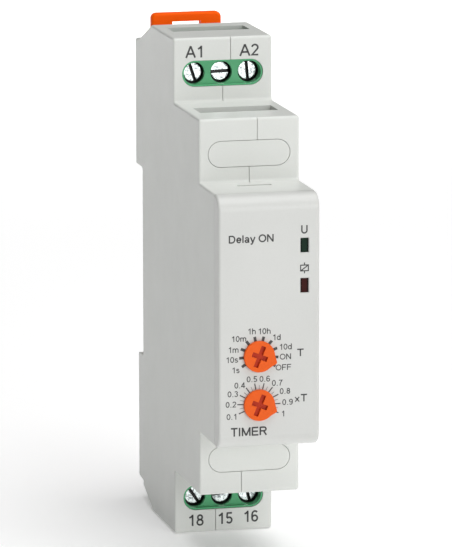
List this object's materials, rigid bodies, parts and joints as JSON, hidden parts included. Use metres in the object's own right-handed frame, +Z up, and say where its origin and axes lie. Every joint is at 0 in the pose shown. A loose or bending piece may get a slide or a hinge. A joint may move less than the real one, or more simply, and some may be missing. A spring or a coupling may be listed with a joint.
{
  "type": "din rail timer",
  "caption": "Slim stepped timer relay for a 35 mm top-hat rail, with two dials, status lamps, screw terminals and a rail clip.",
  "frame": {"origin": "centre of the rail seat face, at mid width on the rail's centre line", "axes": "+Y towards the rail and the panel behind it, +Z up along the height, +X right as seen from the front"},
  "size_m": [0.018, 0.0647, 0.0907],
  "materials": {
    "housing_plastic": "satin moulded light grey",
    "cover_plastic": "satin moulded light grey",
    "clip_plastic": "moulded orange",
    "knob_plastic": "moulded orange",
    "terminal_plastic": "moulded green",
    "screw_steel": "zinc plated, bright",
    "cage_steel": "zinc plated",
    "tinned_brass": "tinned",
    "spring_steel": "drawn wire",
    "circuit_board": "glass epoxy, green mask",
    "black_plastic": "moulded black",
    "capacitor_case": "moulded yellow",
    "capacitor_can": "sleeved can",
    "varistor_coat": "dipped blue",
    "chip_ceramic": "ceramic",
    "trimmer_plastic": "moulded",
    "bobbin_plastic": "moulded natural",
    "copper_wire": "enamelled winding",
    "relay_iron": "nickel plated iron",
    "green_lens": "tinted clear, unlit",
    "red_lens": "tinted clear, unlit",
    "lamp_body": "white moulded"
  },
  "bodies": {
    "housing": {"left_case": "housing_plastic", "right_case": "housing_plastic", "front_cover": "cover_plastic", "upper_blanking_plug": "housing_plastic", "lower_blanking_plug": "housing_plastic", "clip_spring": "spring_steel", "front_board": "circuit_board", "main_board": "circuit_board", "board_header": "black_plastic", "range_pot_base": "trimmer_plastic", "time_pot_base": "trimmer_plastic", "power_led": "lamp_body", "relay_led": "lamp_body", "power_light_window": "green_lens", "relay_light_window": "red_lens", "film_capacitor": "capacitor_case", "filter_capacitor": "capacitor_can", "varistor": "varistor_coat", "bridge_rectifier": "black_plastic", "microcontroller": "black_plastic", "chip_components": "chip_ceramic", "relay_base": "black_plastic", "relay_cover": "black_plastic", "relay_bobbin": "bobbin_plastic", "relay_winding": "copper_wire", "relay_core": "relay_iron", "relay_yoke": "relay_iron", "relay_fixed_contacts": "tinned_brass", "relay_coil_pins": "tinned_brass", "upper_terminal_block": "terminal_plastic", "lower_terminal_block": "terminal_plastic", "upper_terminal_tails": "tinned_brass", "lower_terminal_tails": "tinned_brass"},
    "rail_clip": {"rail_clip": "clip_plastic"},
    "range_dial": {"range_knob": "knob_plastic", "range_pot_rotor": "trimmer_plastic"},
    "time_dial": {"time_knob": "knob_plastic", "time_pot_rotor": "trimmer_plastic"},
    "relay_armature": {"relay_armature": "relay_iron", "relay_contact_spring": "tinned_brass"},
    "screw_a1": {"screw_a1": "screw_steel"},
    "cage_a1": {"cage_a1": "cage_steel"},
    "screw_unused": {"screw_unused": "screw_steel"},
    "cage_unused": {"cage_unused": "cage_steel"},
    "screw_a2": {"screw_a2": "screw_steel"},
    "cage_a2": {"cage_a2": "cage_steel"},
    "screw_18": {"screw_18": "screw_steel"},
    "cage_18": {"cage_18": "cage_steel"},
    "screw_15": {"screw_15": "screw_steel"},
    "cage_15": {"cage_15": "cage_steel"},
    "screw_16": {"screw_16": "screw_steel"},
    "cage_16": {"cage_16": "cage_steel"}
  },
  "joints": [
    {"name": "rail_clip_slide", "type": "slide", "parent": "housing", "child": "rail_clip", "axis": [0, 0, 1], "range_m": [0, 0.0035], "stiffness_N_per_m": 900, "springref_m": -0.002, "deforming": ["clip_spring"]},
    {"name": "range_dial_turn", "type": "hinge", "parent": "housing", "child": "range_dial", "pos_m": [-0.00185, -0.0588, -0.0059], "axis": [0, -1, 0], "range_deg": [0, 240]},
    {"name": "time_dial_turn", "type": "hinge", "parent": "housing", "child": "time_dial", "pos_m": [-0.00185, -0.0588, -0.01447], "axis": [0, -1, 0], "range_deg": [0, 240]},
    {"name": "armature_swing", "type": "hinge", "parent": "housing", "child": "relay_armature", "pos_m": [-0.0042, -0.0246, -0.0037], "axis": [0, -1, 0], "range_deg": [0, 4], "stiffness_Nm_per_rad": 0.01, "springref_deg": -9.74},
    {"name": "screw_a1_turn", "type": "hinge", "parent": "housing", "child": "screw_a1", "pos_m": [-0.005, -0.022, 0.03855], "axis": [0, 1, 0], "range_deg": [0, 2200]},
    {"name": "cage_a1_lift", "type": "slide", "parent": "housing", "child": "cage_a1", "axis": [0, -1, 0], "range_m": [0, 0.0027]},
    {"name": "screw_unused_turn", "type": "hinge", "parent": "housing", "child": "screw_unused", "pos_m": [0, -0.022, 0.03855], "axis": [0, 1, 0], "range_deg": [0, 2200]},
    {"name": "cage_unused_lift", "type": "slide", "parent": "housing", "child": "cage_unused", "axis": [0, -1, 0], "range_m": [0, 0.0027]},
    {"name": "screw_a2_turn", "type": "hinge", "parent": "housing", "child": "screw_a2", "pos_m": [0.005, -0.022, 0.03855], "axis": [0, 1, 0], "range_deg": [0, 2200]},
    {"name": "cage_a2_lift", "type": "slide", "parent": "housing", "child": "cage_a2", "axis": [0, -1, 0], "range_m": [0, 0.0027]},
    {"name": "screw_18_turn", "type": "hinge", "parent": "housing", "child": "screw_18", "pos_m": [-0.005, -0.022, -0.03855], "axis": [0, 1, 0], "range_deg": [0, 2200]},
    {"name": "cage_18_lift", "type": "slide", "parent": "housing", "child": "cage_18", "axis": [0, -1, 0], "range_m": [0, 0.0027]},
    {"name": "screw_15_turn", "type": "hinge", "parent": "housing", "child": "screw_15", "pos_m": [0, -0.022, -0.03855], "axis": [0, 1, 0], "range_deg": [0, 2200]},
    {"name": "cage_15_lift", "type": "slide", "parent": "housing", "child": "cage_15", "axis": [0, -1, 0], "range_m": [0, 0.0027]},
    {"name": "screw_16_turn", "type": "hinge", "parent": "housing", "child": "screw_16", "pos_m": [0.005, -0.022, -0.03855], "axis": [0, 1, 0], "range_deg": [0, 2200]},
    {"name": "cage_16_lift", "type": "slide", "parent": "housing", "child": "cage_16", "axis": [0, -1, 0], "range_m": [0, 0.0027]}
  ],
  "couplings": [
    {"joint": "screw_a1_turn", "follows": "cage_a1_lift", "rad_per_m": 13963},
    {"joint": "screw_unused_turn", "follows": "cage_unused_lift", "rad_per_m": 13963},
    {"joint": "screw_a2_turn", "follows": "cage_a2_lift", "rad_per_m": 13963},
    {"joint": "screw_18_turn", "follows": "cage_18_lift", "rad_per_m": 13963},
    {"joint": "screw_15_turn", "follows": "cage_15_lift", "rad_per_m": 13963},
    {"joint": "screw_16_turn", "follows": "cage_16_lift", "rad_per_m": 13963}
  ]
}
